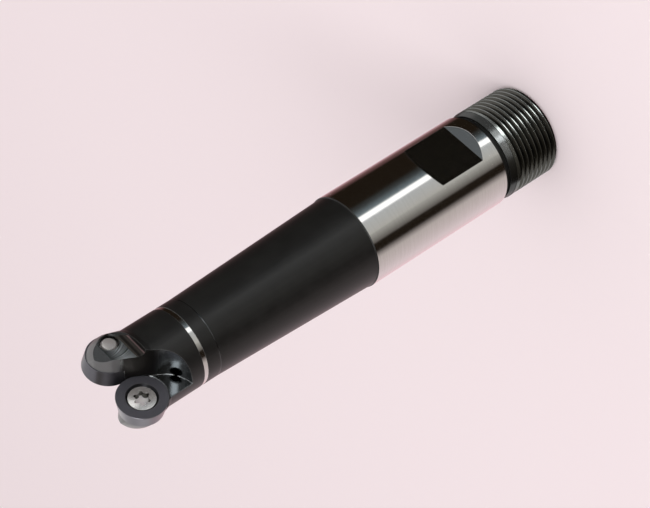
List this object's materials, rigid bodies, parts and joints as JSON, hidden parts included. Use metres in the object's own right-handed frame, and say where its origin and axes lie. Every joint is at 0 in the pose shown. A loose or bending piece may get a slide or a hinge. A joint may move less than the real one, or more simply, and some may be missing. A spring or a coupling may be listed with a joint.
{
  "type": "copy milling cutter",
  "caption": "Copy milling cutter: round inserts screwed to a forked tip on a tapered black neck, with a ground cylindrical shank that has a side-lock flat and a screwed end.",
  "frame": {"origin": "on the tool axis at the screwed end face, which is the lowest face as the tool stands", "axes": "+Z along the tool axis towards the cutting tip, +X across the two inserts, -Y the way the side-lock flat and the rake face of insert_a look"},
  "size_m": [0.02, 0.02, 0.11],
  "materials": {
    "body_steel": "black oxide on the neck and head, ground bright on the shank",
    "coated_carbide": "dark coated, satin",
    "screw_steel": "bright, machined"
  },
  "bodies": {
    "root": {"tool_body": "body_steel", "insert_a": "coated_carbide", "insert_b": "coated_carbide", "insert_screw_a": "screw_steel", "insert_screw_b": "screw_steel"}
  },
  "joints": []
}
